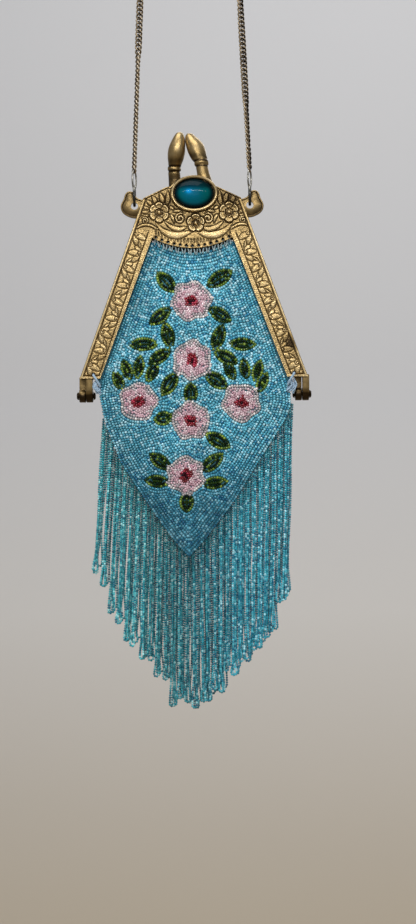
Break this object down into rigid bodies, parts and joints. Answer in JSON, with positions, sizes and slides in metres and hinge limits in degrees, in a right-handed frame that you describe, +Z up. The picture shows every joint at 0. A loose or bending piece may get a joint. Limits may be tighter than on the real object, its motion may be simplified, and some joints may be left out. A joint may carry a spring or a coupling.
{
  "type": "beaded frame bag",
  "caption": "Beaded frame bag: hinged cast brass frame with kiss clasp and glass cabochon, beaded pouch with V bottom, looped bead fringe and curb chain strap.",
  "frame": {"origin": "under the top bend of the chain, where it hangs over a hook or hand", "axes": "+Z up along the hanging chain, -Y out of the bag's front, +X to the viewer's right"},
  "size_m": [0.1282, 0.0248, 0.4815],
  "materials": {
    "frame_brass": "antique gilt, worn",
    "chain_brass": "tarnished",
    "stone_glass": "polished dome",
    "beadwork": "glossy seed beads sewn on cloth",
    "fringe_beads": "glossy transparent seed beads"
  },
  "bodies": {
    "root": {"frame_front": "frame_brass", "frame_back": "frame_brass", "cabochon": "stone_glass", "pouch_front": "beadwork", "pouch_back": "beadwork", "fringe": "fringe_beads", "chain": "chain_brass", "hinge_pin_left": "frame_brass", "hinge_pin_right": "frame_brass", "ring_left": "chain_brass", "ring_right": "chain_brass", "end_link_left": "chain_brass", "end_link_right": "chain_brass"}
  },
  "joints": []
}
